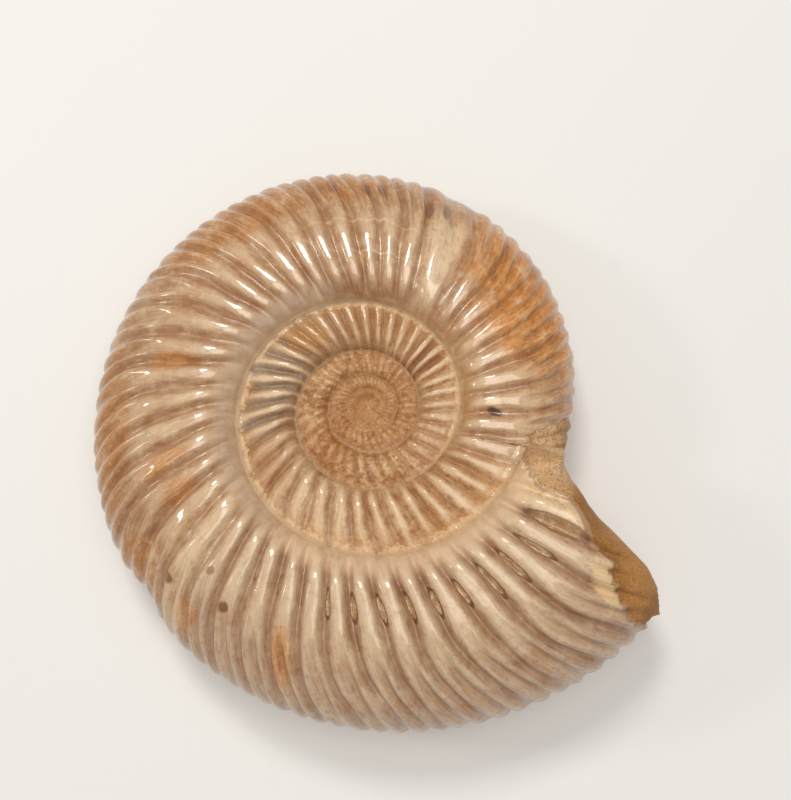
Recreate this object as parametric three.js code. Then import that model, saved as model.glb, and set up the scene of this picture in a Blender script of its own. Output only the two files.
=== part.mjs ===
// Polished perisphinctes ammonite, one natural stone, lying on its side.
// Millimetres, +Z up. The shell coils in a plane that leans a few degrees, as it rests on its ribs.
import * as THREE from "three";

// Driving dimensions: the spiral, seen from above and growing counter-clockwise.
// Angles are degrees of coiling; angle 0 of the outer whorl points to +X.
const VENTER_RADIUS = 27.2;
const GROWTH_PER_TURN = 1.82;
const VENTER_LEAN = 0.0146;
const VENTER_LEAN_TOWARDS = 91.5;
const SEAM_SHARE = 0.4505;
const SEAM_SHARE_DROP_PER_TURN = 0.01;
const SEAM_SHARE_DROPS_OVER = [-2, 1];
const SEAM_OFFSET = 2;
const SEAM_OFFSET_FADE_SIZE = 5;
const SEAM_OFFSET_TOWARDS = 265;
const MOST_COVERED_FROM = 0.9;

// The whorl section: half breadth as a share of the venter radius, and where it is broadest.
const HALF_BREADTH = 0.265;
const BROADEST_AT = 0.25;
const SEAM_HEIGHT_SHARE = 0.47;
const SECTION_SQUARENESS = 2.6;

// Ribs: depth as a share of the venter radius, and groove number against coiling angle,
// with even spacing between these anchors.
const RIB_DEPTH = 0.021;
const GROOVE_WIDTH = 0.2;
const OUTER_GROOVE_WIDTH = 0.13;
const BRANCHING = [0.5, 0.74];
const RIBS_RISE_OVER = 0.16;
const RELIEF_ON_VENTER = 0.4;
const VENTER_FADE_FROM = 0.72;
const GROOVES = [
  [-112, -1100],
  [-75, -740],
  [-55, -550],
  [-37, -369.5],
  [-21, -216],
  [-13, -138],
  [-9, -96.5],
  [0, -18.8],
  [7, 51.5],
  [8, 68],
  [16, 134],
  [21, 178.5],
  [26, 218.5],
  [27, 226.5],
  [41, 323.5],
  [45, 351.2],
];

// Ribs sweep forward, in degrees per whole height: more below the bend than above it, and past
// the curl's start ever more.
const SWEEP_BELOW_BEND = 9;
const SWEEP_ABOVE_BEND = 6;
const BEND_AT = 0.33;
const CURL = 22;
const CURL_FROM = 0.5;

// Constrictions: coiling angle, half width in degrees and depth as a share of the venter radius.
const CONSTRICTIONS = [
  [57, 5, 0.012],
  [212, 6, 0.024],
];
const CONSTRICTIONS_DEEPEN = [0.1, 0.8];

// The broken mouth, as height up the whorl against coiling angle: where the shell ends on the
// flanks, and the outline of the stone infill halfway between them.
const SHELL_EDGE = [
  [0, 334],
  [0.11, 330.7],
  [0.27, 330.7],
  [0.37, 327.3],
  [0.5, 325.3],
  [0.65, 324],
  [0.76, 319.8],
  [0.92, 319],
  [1, 321],
];
const INFILL_EDGE = [
  [0.17, 346.5],
  [0.2, 341.3],
  [0.26, 338],
  [0.32, 336],
  [0.39, 334],
  [0.46, 332.6],
  [0.62, 330.7],
  [0.8, 329],
  [0.9, 327],
  [1, 323.6],
];
const SHELL_THICKNESS = 0.6;
const SHELL_EDGE_SLOPE = 0.12;
const INFILL_COVER = 0.5;

// Resting: the coil plane rises towards the mouth, and the lowest ribs are worn flat.
const REST_TILT = 3.3;
const REST_TILT_TOWARDS = -40.1;
const FLAT_DEPTH = 0.35;

// Facets: four columns to a rib, and rows up the flank from the seam.
const COLUMNS_PER_RIB = 4;
const FIRST_PHASE = -0.25;
const COLUMNS_PER_TURN = 178;
const TURNS = 4;
const OUTER_FLANK_ROWS = [0, 0.115, 0.31, 0.54, 0.77];
const VENTER_ROWS = [0, 0.5, 0.86, 1];
const SECOND_WHORL_ROWS = [0, 0.16, 0.52, 1];
const INNER_WHORL_ROWS = [0, 0.3, 1];
const COARSE_STEP = 2;
const FIRST_CHAMBER_OFFSET = 0.9;

const radians = THREE.MathUtils.degToRad;
const clamp = THREE.MathUtils.clamp;
const smoothstep = THREE.MathUtils.smoothstep;

// Straight-line reading of a list of [input, output] pairs, extended past its ends.
function readBetween(pairs, x) {
  let i = 1;
  while (i < pairs.length - 1 && pairs[i][0] < x) {
    i += 1;
  }
  const [x0, y0] = pairs[i - 1];
  const [x1, y1] = pairs[i];
  return y0 + ((y1 - y0) * (x - x0)) / (x1 - x0);
}

const grooveNumbers = GROOVES.map(([number, angle]) => [angle, number]);

function coilSize(angle) {
  return VENTER_RADIUS * Math.pow(GROWTH_PER_TURN, angle / 360);
}

function venterRadius(angle) {
  const lean = VENTER_LEAN * Math.cos(radians(angle - VENTER_LEAN_TOWARDS));
  return coilSize(angle) * (1 + lean);
}

// The seam leans to one side more than the venter does, and least in the small first whorls.
function seamRadius(angle) {
  const turns = clamp(angle / 360, ...SEAM_SHARE_DROPS_OVER);
  const share = SEAM_SHARE - SEAM_SHARE_DROP_PER_TURN * turns;
  const fade = Math.pow(coilSize(angle) / (coilSize(angle) + SEAM_OFFSET_FADE_SIZE), 2);
  const offset = SEAM_OFFSET * fade * Math.cos(radians(angle - SEAM_OFFSET_TOWARDS));
  return venterRadius(angle) * share + offset;
}

// Height up the whorl, 0 to 1, at which the next turn covers this one.
function coveredFrom(angle) {
  const reach = seamRadius(angle + 360) - seamRadius(angle);
  return Math.min(reach / (venterRadius(angle) - seamRadius(angle)), MOST_COVERED_FROM);
}

// Half breadth of the whorl as a share of its greatest, from the seam (0) to the venter (1).
function sectionShare(up) {
  if (up < BROADEST_AT) {
    const wall = Math.pow(1 - up / BROADEST_AT, SECTION_SQUARENESS);
    return SEAM_HEIGHT_SHARE + (1 - SEAM_HEIGHT_SHARE) * Math.sqrt(1 - wall);
  }
  const flank = Math.pow((up - BROADEST_AT) / (1 - BROADEST_AT), SECTION_SQUARENESS);
  return Math.sqrt(Math.max(0, 1 - flank));
}

// How far a rib has swept forward at a height, in degrees of coiling, 0 at the bend.
function ribSweep(up) {
  const slope = up < BEND_AT ? SWEEP_BELOW_BEND : SWEEP_ABOVE_BEND;
  return slope * (up - BEND_AT) + CURL * Math.pow(Math.max(0, up - CURL_FROM), 2);
}

// Depth of the grooves, 0 to 1: one beside each rib, and one more where the rib branches. They
// run out at the seam and grow shallow on the venter.
function grooveDepth(angle, up) {
  const number = readBetween(grooveNumbers, angle - ribSweep(up));
  const phase = number - Math.round(number);
  const branch = smoothstep(up, BRANCHING[0], BRANCHING[1]);
  const width = THREE.MathUtils.lerp(GROOVE_WIDTH, OUTER_GROOVE_WIDTH, branch);
  const main = Math.exp(-Math.pow(phase / width, 2));
  const second = branch * Math.exp(-Math.pow((0.5 - Math.abs(phase)) / width, 2));
  const fade = smoothstep(up, 0, RIBS_RISE_OVER);
  const shallow = THREE.MathUtils.lerp(1, RELIEF_ON_VENTER, smoothstep(up, VENTER_FADE_FROM, 1));
  return (main + second) * fade * shallow;
}

// The shell narrows at each constriction, most of all on the venter.
function constrictionDepth(angle, up) {
  return CONSTRICTIONS.reduce((sum, [centre, halfWidth, depth]) => {
    const away = (angle - ribSweep(up) - centre) / halfWidth;
    return sum + depth * Math.exp(-away * away) * smoothstep(up, ...CONSTRICTIONS_DEEPEN);
  }, 0);
}

// How far a point lies over the infill past the shell's broken edge: 0 at the shell, 1 at the end.
function infillShare(angle, up) {
  const shell = readBetween(SHELL_EDGE, up);
  const end = Math.max(readBetween(INFILL_EDGE, up), shell + 0.5);
  return clamp((angle - shell) / (end - shell), 0, 1);
}

// A point of the smooth section, as [radius, height].
function smoothPoint(angle, up) {
  const seam = seamRadius(angle);
  const radius = seam + (venterRadius(angle) - seam) * up;
  return [radius, coilSize(angle) * HALF_BREADTH * sectionShare(up)];
}

// A point of the upper surface in the coil's own frame. The lower side mirrors it.
function surfacePoint(angle, up) {
  const step = 0.004;
  const low = smoothPoint(angle, Math.max(0, up - step));
  const high = smoothPoint(angle, Math.min(1, up + step));
  const along = new THREE.Vector2(high[0] - low[0], high[1] - low[1]).normalize();
  const normal = up > 1 - step ? new THREE.Vector2(1, 0) : new THREE.Vector2(-along.y, along.x);
  const infill = infillShare(angle, up);
  const edgeSlope = smoothstep(infill, 0, SHELL_EDGE_SLOPE);
  const shellDrop = SHELL_THICKNESS * edgeSlope * smoothstep(up, 0, RIBS_RISE_OVER);
  const relief = RIB_DEPTH * grooveDepth(angle, up) * (1 - infill) + constrictionDepth(angle, up);
  const depth = relief * coilSize(angle) + shellDrop;
  const [radius, height] = smoothPoint(angle, up);
  let z = (height - normal.y * depth) * Math.sqrt(1 - infill * infill);
  const r = radius - normal.x * depth;
  if (infill > 0 && r < venterRadius(angle - 360)) {
    const below = (r - seamRadius(angle - 360)) / (venterRadius(angle - 360) - seamRadius(angle - 360));
    z = Math.max(z, smoothPoint(angle - 360, below)[1] + INFILL_COVER);
  }
  const turned = radians(angle);
  return new THREE.Vector3(r * Math.cos(turned), r * Math.sin(turned), Math.max(z, 0));
}

// Columns of vertices, numbered so that a column and the one a turn earlier share the seam.
const lastColumn = COLUMNS_PER_TURN - 1;
const firstOuterColumn = lastColumn - COLUMNS_PER_TURN;
const firstColumn = lastColumn - TURNS * COLUMNS_PER_TURN;

function outerColumnAngle(column) {
  return readBetween(GROOVES, FIRST_PHASE + (column - firstOuterColumn) / COLUMNS_PER_RIB);
}

const sweepPerTurn = outerColumnAngle(lastColumn) - outerColumnAngle(firstOuterColumn) - 360;

function columnAngle(column) {
  if (column >= firstOuterColumn) {
    return outerColumnAngle(column);
  }
  return columnAngle(column + COLUMNS_PER_TURN) - 360 - sweepPerTurn;
}

// How far up the whorl a column runs: to the venter, or to the infill's outline at the mouth.
function columnReach(column) {
  const base = columnAngle(column);
  let low = INFILL_EDGE[0][0];
  let high = 1;
  if (base + ribSweep(high) <= readBetween(INFILL_EDGE, high)) {
    return high;
  }
  for (let halving = 0; halving < 20; halving += 1) {
    const middle = (low + high) / 2;
    if (base + ribSweep(middle) < readBetween(INFILL_EDGE, middle)) {
      low = middle;
    } else {
      high = middle;
    }
  }
  return low;
}

const vertices = [];
const triangles = [];

function addVertex(point) {
  vertices.push(point);
  return vertices.length - 1;
}

function addPair(point) {
  const mirrored = new THREE.Vector3(point.x, point.y, -point.z);
  return [addVertex(point), addVertex(mirrored)];
}

// Fills the surface between two chains of vertices, stepping along whichever lags behind.
function bridge(chainA, chainB) {
  let a = 0;
  let b = 0;
  while (a < chainA.length - 1 || b < chainB.length - 1) {
    const nextA = (a + 0.5) / (chainA.length - 1 || 0.5);
    const nextB = (b + 0.5) / (chainB.length - 1 || 0.5);
    const stepA = b === chainB.length - 1 || (a < chainA.length - 1 && nextA <= nextB);
    const corner = stepA ? chainA[a + 1] : chainB[b + 1];
    addTriangle(chainA[a], corner, chainB[b]);
    if (stepA) {
      a += 1;
    } else {
      b += 1;
    }
  }
}

function addTriangle(a, b, c) {
  if (a !== b && b !== c && c !== a) {
    triangles.push(a, b, c);
  }
}

// Each column keeps its vertices on the upper side and on the lower side, from seam outwards.
const upper = new Map();
const lower = new Map();

function storeColumn(column, pairs) {
  upper.set(column, pairs.map((pair) => pair[0]));
  lower.set(column, pairs.map((pair) => pair[1]));
}

function stepOf(column) {
  return column < firstOuterColumn - COLUMNS_PER_TURN ? COARSE_STEP : 1;
}

// Inner whorls: only the band that the next turn leaves uncovered.
function makeInnerColumn(column) {
  const base = columnAngle(column) + ribSweep(0);
  const rows = stepOf(column) === 1 ? SECOND_WHORL_ROWS : INNER_WHORL_ROWS;
  const seamColumn = column - COLUMNS_PER_TURN;
  const pairs = rows.map((share, row) => {
    if (row === 0 && upper.has(seamColumn)) {
      return [upper.get(seamColumn).at(-1), lower.get(seamColumn).at(-1)];
    }
    const angle = base + sweepPerTurn * share;
    return addPair(surfacePoint(angle, share * coveredFrom(angle)));
  });
  storeColumn(column, pairs);
}

// On the coarse whorls a seam vertex between two columns is needed only by the turn outside it.
function makeSeamVertex(column) {
  const angle = columnAngle(column) + ribSweep(0) + sweepPerTurn;
  storeColumn(column, [addPair(surfacePoint(angle, coveredFrom(angle)))]);
}

const coveredAtMouth = coveredFrom(columnAngle(firstOuterColumn) + ribSweep(0) + sweepPerTurn);
const outerRows = OUTER_FLANK_ROWS.map((share) => share * coveredAtMouth);
VENTER_ROWS.forEach((share) => outerRows.push(coveredAtMouth + (1 - coveredAtMouth) * share));
const seamRow = OUTER_FLANK_ROWS.length;

function makeOuterColumn(column) {
  const seamColumn = column - COLUMNS_PER_TURN;
  const reach = columnReach(column);
  const pairs = outerRows.map((share, row) => {
    if (row === 0) {
      return [upper.get(seamColumn)[seamIndex(seamColumn)], lower.get(seamColumn)[seamIndex(seamColumn)]];
    }
    const up = share * reach;
    const point = surfacePoint(columnAngle(column) + ribSweep(up), up);
    if (share === 1) {
      point.z = 0;
      const venter = addVertex(point);
      return [venter, venter];
    }
    return addPair(point);
  });
  storeColumn(column, pairs);
}

function seamIndex(column) {
  return column === firstOuterColumn ? seamRow : upper.get(column).length - 1;
}

for (let column = firstColumn; column <= lastColumn; column += 1) {
  if (column >= firstOuterColumn) {
    makeOuterColumn(column);
  } else if ((column - firstColumn) % stepOf(column) === 0) {
    makeInnerColumn(column);
  } else if (stepOf(column + COLUMNS_PER_TURN) === 1) {
    makeSeamVertex(column);
  }
}

// Whole outline of a column: over the upper side, round the venter and back under.
function chainOf(column) {
  const below = lower.get(column).slice(0, -1).reverse();
  return upper.get(column).concat(below);
}

for (let column = firstOuterColumn; column < lastColumn; column += 1) {
  bridge(chainOf(column), chainOf(column + 1));
}

for (let column = firstColumn; column < firstOuterColumn; column += stepOf(column)) {
  const next = column + stepOf(column);
  const nextRows = next === firstOuterColumn ? seamRow + 1 : upper.get(next).length;
  const between = next === column + 1 || !upper.has(column + 1) ? [] : [column + 1];
  const upperChain = upper.get(column).concat(between.map((middle) => upper.get(middle)[0]));
  const lowerChain = lower.get(column).concat(between.map((middle) => lower.get(middle)[0]));
  bridge(upperChain, upper.get(next).slice(0, nextRows));
  bridge(lower.get(next).slice(0, nextRows), lowerChain);
}

// The middle: the first turn closes onto the first chamber, beside the spiral's pole.
function closeMiddle(side, facingUp) {
  const ring = [];
  for (let column = firstColumn; column < firstColumn + COLUMNS_PER_TURN; column += COARSE_STEP) {
    ring.push(side.get(column)[0]);
  }
  side.get(firstColumn).slice(1).reverse().forEach((vertex) => ring.push(vertex));
  ring.push(ring[0]);
  const away = radians(columnAngle(firstColumn) + ribSweep(0) - 90);
  const height = vertices[ring[0]].z;
  const chamber = addVertex(
    new THREE.Vector3(
      FIRST_CHAMBER_OFFSET * Math.cos(away),
      FIRST_CHAMBER_OFFSET * Math.sin(away),
      height,
    ),
  );
  for (let i = 0; i < ring.length - 1; i += 1) {
    if (facingUp) {
      addTriangle(chamber, ring[i], ring[i + 1]);
    } else {
      addTriangle(chamber, ring[i + 1], ring[i]);
    }
  }
}

closeMiddle(upper, true);
closeMiddle(lower, false);

// The infill's end closes onto the turn it rests on.
const underMouthUpper = upper.get(firstOuterColumn).slice(seamRow);
const underMouthLower = lower.get(firstOuterColumn).slice(seamRow, -1).reverse();
bridge(chainOf(lastColumn), underMouthUpper.concat(underMouthLower));

// Lay the coil down, wear the lowest ribs flat, and put the origin under the middle of the box.
function layDown(points) {
  const towards = radians(REST_TILT_TOWARDS);
  const axis = new THREE.Vector3(Math.sin(towards), -Math.cos(towards), 0);
  points.forEach((point) => point.applyAxisAngle(axis, radians(REST_TILT)));
  const raw = new THREE.Box3().setFromPoints(points);
  const floor = raw.min.z + FLAT_DEPTH;
  points.forEach((point) => {
    point.z = Math.max(point.z, floor);
  });
  const centre = raw.getCenter(new THREE.Vector3());
  points.forEach((point) => point.sub(new THREE.Vector3(centre.x, centre.y, floor)));
}

layDown(vertices);

const geometry = new THREE.BufferGeometry();
const flatPositions = vertices.flatMap((point) => point.toArray());
geometry.setAttribute("position", new THREE.Float32BufferAttribute(flatPositions, 3));
geometry.setIndex(triangles);
geometry.computeVertexNormals();

const polishedShell = new THREE.MeshStandardMaterial({
  color: 0xc9a277,
  roughness: 0.25,
  metalness: 0,
});

const ammonite = new THREE.Mesh(geometry, polishedShell);
ammonite.name = "ammonite";

const part = new THREE.Group();
part.add(ammonite);

export default part;
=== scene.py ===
import math

import bpy
import numpy as np
from mathutils import Matrix, Vector


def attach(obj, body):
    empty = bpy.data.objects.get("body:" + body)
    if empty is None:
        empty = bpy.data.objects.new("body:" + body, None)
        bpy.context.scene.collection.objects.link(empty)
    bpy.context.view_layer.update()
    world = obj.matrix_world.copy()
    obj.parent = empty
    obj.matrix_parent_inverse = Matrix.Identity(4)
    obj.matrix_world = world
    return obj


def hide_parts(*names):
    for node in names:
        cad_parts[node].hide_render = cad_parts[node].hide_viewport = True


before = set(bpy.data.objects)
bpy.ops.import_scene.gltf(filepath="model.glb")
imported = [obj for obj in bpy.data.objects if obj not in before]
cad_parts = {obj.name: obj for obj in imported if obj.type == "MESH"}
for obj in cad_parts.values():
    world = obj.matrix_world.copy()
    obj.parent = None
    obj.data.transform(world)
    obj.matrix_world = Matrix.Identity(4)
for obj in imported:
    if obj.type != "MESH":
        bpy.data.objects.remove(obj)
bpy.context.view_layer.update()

# Ammonite. A fossil shell turned to calcite and polished, with sediment cemented inside it, in one
# stone. It grew as a tube in a flat spiral, and each turn of the tube leans on the one before.
# Lengths here are in millimetres and angles in degrees of coiling, until the coil is laid down.
TURNS = 5
COLUMNS_PER_TURN = 890
COLUMNS_PER_RIB = 20
FIRST_PHASE = -0.25
# The grooves between the ribs: each one's number, and the angle at which it lies.
GROOVES = np.array([
    [-153.1, -1500], [-112, -1100], [-75, -740], [-55, -550], [-37, -369.5], [-21, -216],
    [-13, -138], [-9, -96.5], [0, -18.8], [7, 51.5], [8, 68], [16, 134], [21, 178.5],
    [26, 218.5], [27, 226.5], [41, 323.5], [45, 351.2],
])
# The coil's sizes, which the node tree takes as its inputs.
COIL = {
    "Venter radius": 27.2,
    "Growth per turn": 1.82,
    "Venter lean": 0.0146,
    "Venter lean towards": 91.5,
    "Seam share": 0.4505,
    "Seam share drop per turn": 0.01,
    "Seam offset": 2.0,
    "Seam offset fade size": 5.0,
    "Seam offset towards": 265.0,
    "Half breadth": 0.265,
    "Broadest at": 0.25,
    "Seam height share": 0.47,
    "Squareness": 2.6,
    "Rib depth": 0.026,
    "Groove width": 0.19,
    "Outer groove width": 0.13,
    "Branching from": 0.5,
    "Branching to": 0.74,
    "Relief on venter": 0.4,
    "Venter fade from": 0.72,
    "Lump depth": 0.12,
    "Lump scale": 0.32,
    "Broken stone roughness": 0.5,
    "Middle roughness": 0.42,
    "Roughness scale": 1.6,
    "Rest tilt": 3.3,
    "Rest tilt towards": -40.1,
    "Flat depth": 0.35,
}


def smoothstep(value, low, high):
    share = np.clip((value - low) / (high - low), 0, 1)
    return share * share * (3 - 2 * share)


def coil_size(angle):
    return COIL["Venter radius"] * COIL["Growth per turn"] ** (angle / 360)


def venter_radius(angle):
    lean = COIL["Venter lean"] * np.cos(np.radians(angle - COIL["Venter lean towards"]))
    return coil_size(angle) * (1 + lean)


def seam_radius(angle):
    share = COIL["Seam share"] - COIL["Seam share drop per turn"] * np.clip(angle / 360, -2, 1)
    fade = (coil_size(angle) / (coil_size(angle) + COIL["Seam offset fade size"])) ** 2
    towards = np.radians(angle - COIL["Seam offset towards"])
    return venter_radius(angle) * share + COIL["Seam offset"] * fade * np.cos(towards)


MOST_COVERED_FROM = 0.9


def covered_from(angle):
    """How far up a turn the next turn begins to cover it: 0 at its seam, 1 at its venter."""
    reach = seam_radius(angle + 360) - seam_radius(angle)
    share = reach / (venter_radius(angle) - seam_radius(angle))
    return np.minimum(share, MOST_COVERED_FROM)


# The ribs sweep forward as they climb the flank, and curl over its upper half. Slopes are in
# degrees of coiling for the whole height, and heights run from 0 at the seam to 1 at the venter.
SWEEP_BELOW_BEND = 9
SWEEP_ABOVE_BEND = 6
BEND_AT = 0.33
CURL = 22
CURL_FROM = 0.5


def rib_sweep(up):
    slope = np.where(up < BEND_AT, SWEEP_BELOW_BEND, SWEEP_ABOVE_BEND)
    return slope * (up - BEND_AT) + CURL * np.maximum(0, up - CURL_FROM) ** 2


# The broken mouth: where the polished shell ends on the flanks, and the outline of the stone
# infill behind it, as height up the whorl against coiling angle.
SHELL_EDGE = np.array([
    [0, 337], [0.055, 333.2], [0.11, 330], [0.155, 329.6], [0.225, 330.4], [0.29, 331.4],
    [0.345, 330.2], [0.39, 328], [0.46, 326], [0.51, 325], [0.565, 325.2], [0.615, 324.6],
    [0.675, 322.6], [0.735, 321], [0.79, 320.2], [0.86, 319.2], [0.95, 319.2], [1, 321],
])
INFILL_EDGE = np.array([
    [0.17, 346.5], [0.2, 341.3], [0.26, 338], [0.32, 336], [0.39, 334], [0.46, 332.6],
    [0.62, 330.7], [0.8, 329], [0.9, 327], [1, 323.6],
])
SHELL_THICKNESS = 0.6
INFILL_COVER = 0.5
SHORTEST_INFILL = 0.5


def infill_share(angle, up):
    """0 on the shell, then up to 1 at the end of the infill."""
    ragged = 0.2 * np.sin(61 * up + 0.7) + 0.22 * np.sin(137 * up + 2) + 0.15 * np.sin(263 * up)
    shell = np.interp(up, *SHELL_EDGE.T) + ragged * smoothstep(up, 0.25, 0.5)
    end = np.maximum(np.interp(up, *INFILL_EDGE.T), shell + SHORTEST_INFILL)
    return np.clip((angle - shell) / (end - shell), 0, 1)


def infill_rest_height(angle, up):
    """Height over the coil plane at which the infill lies on the turn below it, or 0 past it."""
    seam = seam_radius(angle)
    radius = seam + (venter_radius(angle) - seam) * up
    below_seam = seam_radius(angle - 360)
    below = (radius - below_seam) / (venter_radius(angle - 360) - below_seam)
    bulge = np.clip((below - COIL["Broadest at"]) / (1 - COIL["Broadest at"]), 0, 1)
    section = np.sqrt(1 - bulge ** COIL["Squareness"])
    height = coil_size(angle - 360) * COIL["Half breadth"] * section + INFILL_COVER
    return np.where((infill_share(angle, up) > 0) & (below < 1), height, 0)


def bare_patch(angle, up, side):
    """A spot beside the mouth where the shell has flaked off the upper flank: 1 inside it."""
    inner = up - 0.77 + 0.009 * (angle + 25) + 0.012 * np.sin(angle * 2.1)
    front = -13 + 25 * (up - 0.68) - angle + 0.5 * np.sin(55 * up)
    return smoothstep(inner, -0.012, 0.012) * smoothstep(front, -0.4, 0.4) * (side > 0)


# Each constriction: its angle, half its width, and its depth as a share of the coil's size.
CONSTRICTIONS = ((57, 5, 0.012), (212, 6, 0.024))
FLAKE_DEPTH = 0.3
PIT_ANGLE = -8.2
PIT_HEIGHT = 0.31
PIT_DEPTH = 0.45


def carving(angle, up, side):
    """What lies below the ribbed surface: constrictions, the flaked spot and one small pit."""
    along = angle - rib_sweep(up)
    narrow = sum(
        depth * np.exp(-(((along - place) / half_width) ** 2))
        for place, half_width, depth in CONSTRICTIONS
    )
    narrow = narrow * coil_size(angle) * smoothstep(up, 0.1, 0.8)
    drop = SHELL_THICKNESS * smoothstep(infill_share(angle, up), 0, 0.06) * smoothstep(up, 0, 0.16)
    drop = drop * (1 - infill_share(angle, up) ** 2)
    pit = np.exp(-(((angle - PIT_ANGLE) / 1.2) ** 2) - ((up - PIT_HEIGHT) / 0.06) ** 2) * (side > 0)
    return narrow + drop + FLAKE_DEPTH * bare_patch(angle, up, side) + PIT_DEPTH * pit


# The strip: columns of points from the seam outwards, each along a rib. A turn's first row is the
# last row of the turn before it, and the under side repeats the upper side with fewer rows.
last_column = COLUMNS_PER_TURN - 1
first_outer = last_column - COLUMNS_PER_TURN
first_column = last_column - TURNS * COLUMNS_PER_TURN


def outer_angle(column):
    number = FIRST_PHASE + (column - first_outer) / COLUMNS_PER_RIB
    return float(np.interp(number, GROOVES[:, 0], GROOVES[:, 1]))


sweep_per_turn = outer_angle(last_column) - outer_angle(first_outer) - 360


def column_angle(column):
    """The coiling angle of a column: an inner turn repeats the outer one, a whole turn back."""
    turns_down = 0
    while column < first_outer:
        column += COLUMNS_PER_TURN
        turns_down += 1
    return outer_angle(column) - turns_down * (360 + sweep_per_turn)


HALVINGS = 24


def column_reach(column):
    """How far up the whorl a column runs: to the venter, or to the infill's outline."""
    base = column_angle(column)
    low, high = INFILL_EDGE[0, 0], 1.0
    if base + rib_sweep(high) <= INFILL_EDGE[-1, 1]:
        return high
    for _ in range(HALVINGS):
        middle = (low + high) / 2
        if base + rib_sweep(middle) < np.interp(middle, *INFILL_EDGE.T):
            low = middle
        else:
            high = middle
    return low


def spread(count, crowding):
    """Rows from 0 to 1, closer together near 0."""
    return np.linspace(0, 1, count) ** crowding


# How the rows of points are spread up a turn, for the upper side (1) and the under side (-1).
covered_at_mouth = covered_from(column_angle(first_outer) + rib_sweep(0) + sweep_per_turn)
FLANK_ROWS = {1: spread(14, 1.7), -1: spread(9, 1.6)}
VENTER_ROWS = {1: 1 - spread(24, 1.5)[::-1], -1: 1 - spread(15, 1.5)[::-1]}
INNER_ROWS = [
    {1: spread(4, 1.4), -1: spread(3, 1.4)},
    {1: spread(5, 1.4), -1: spread(4, 1.4)},
    {1: spread(8, 1.5), -1: spread(6, 1.5)},
    FLANK_ROWS,
]
outer_rows = {
    side: np.append(
        FLANK_ROWS[side] * covered_at_mouth,
        covered_at_mouth + (1 - covered_at_mouth) * VENTER_ROWS[side][1:],
    )
    for side in (1, -1)
}

points = []
rows_of = {1: {}, -1: {}}


def add_point(angle, up, side):
    points.append((float(angle), float(up), side))
    return len(points) - 1


def make_inner_column(column):
    """A column on an inner turn, on both flanks, from its seam to where the next turn covers it."""
    turn = (column - first_column) // COLUMNS_PER_TURN
    base = column_angle(column) + float(rib_sweep(0))
    for side in (1, -1):
        rows = []
        for row, share in enumerate(INNER_ROWS[turn][side]):
            angle = base + sweep_per_turn * share
            up = share * covered_from(angle)
            if row == 0 and turn > 0:
                point = rows_of[side][column - COLUMNS_PER_TURN][-1][0]
            else:
                point = add_point(angle, up, side)
            rows.append((point, angle, up, side))
        rows_of[side][column] = rows


def make_outer_column(column):
    """A column on the outer turn, from the seam over the venter to the seam of the other flank."""
    reach = column_reach(column)
    below = column - COLUMNS_PER_TURN
    venter = None
    for side in (1, -1):
        rows = []
        for row, share in enumerate(outer_rows[side]):
            up = share * reach
            angle = column_angle(column) + float(rib_sweep(up))
            if row == 0:
                seam_row = len(FLANK_ROWS[side]) - 1 if below == first_outer else -1
                point = rows_of[side][below][seam_row][0]
            elif share == 1:
                venter = add_point(angle, up, 0) if venter is None else venter
                point = venter
            else:
                point = add_point(angle, up, side)
            rows.append((point, angle, up, side))
        rows_of[side][column] = rows


for column in range(first_column, last_column + 1):
    if column < first_outer:
        make_inner_column(column)
    else:
        make_outer_column(column)

faces = []


def bridge(chain_a, chain_b):
    """Fills the surface between two chains: with quads, or stepping along whichever lags."""
    if len(chain_a) == len(chain_b):
        for i in range(len(chain_a) - 1):
            faces.append((chain_a[i], chain_a[i + 1], chain_b[i + 1], chain_b[i]))
        return
    a = b = 0
    while a < len(chain_a) - 1 or b < len(chain_b) - 1:
        share_a = (a + 0.5) / max(len(chain_a) - 1, 0.5)
        share_b = (b + 0.5) / max(len(chain_b) - 1, 0.5)
        step_a = b == len(chain_b) - 1 or (a < len(chain_a) - 1 and share_a <= share_b)
        corner = chain_a[a + 1] if step_a else chain_b[b + 1]
        faces.append((chain_a[a], corner, chain_b[b]))
        a, b = (a + 1, b) if step_a else (a, b + 1)


def whole_outline(column):
    return rows_of[1][column] + rows_of[-1][column][-2::-1]


for column in range(first_outer, last_column):
    bridge(whole_outline(column), whole_outline(column + 1))

for column in range(first_column, first_outer):
    for side in (1, -1):
        here, after = rows_of[side][column], rows_of[side][column + 1]
        if column + 1 == first_outer:
            after = after[:len(FLANK_ROWS[side])]
        if side > 0:
            bridge(here, after)
        else:
            bridge(after, here)

# The mouth: the infill's end closes onto the turn it rests on.
seam_rows = {side: len(FLANK_ROWS[side]) - 1 for side in (1, -1)}
under_mouth = rows_of[1][first_outer][seam_rows[1]:]
under_mouth = under_mouth + rows_of[-1][first_outer][-2:seam_rows[-1] - 1:-1]
bridge(whole_outline(last_column), under_mouth)

# The middle: the first turn closes onto the first chamber, beside the spiral's pole.
FIRST_CHAMBER_OFFSET = 0.42
QUARTER_TURN = 90
for side in (1, -1):
    ring = [rows_of[side][c][0] for c in range(first_column, first_column + COLUMNS_PER_TURN)]
    ring = ring + rows_of[side][first_column][:0:-1]
    ring.append(ring[0])
    away = column_angle(first_column) + float(rib_sweep(0)) - QUARTER_TURN
    seam = seam_radius(away)
    up = (FIRST_CHAMBER_OFFSET - seam) / (venter_radius(away) - seam)
    chamber = (add_point(away, up, side), away, 0.0, side)
    for here, after in zip(ring, ring[1:]):
        if here[0] != after[0]:
            faces.append((chamber, here, after) if side > 0 else (chamber, after, here))

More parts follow.
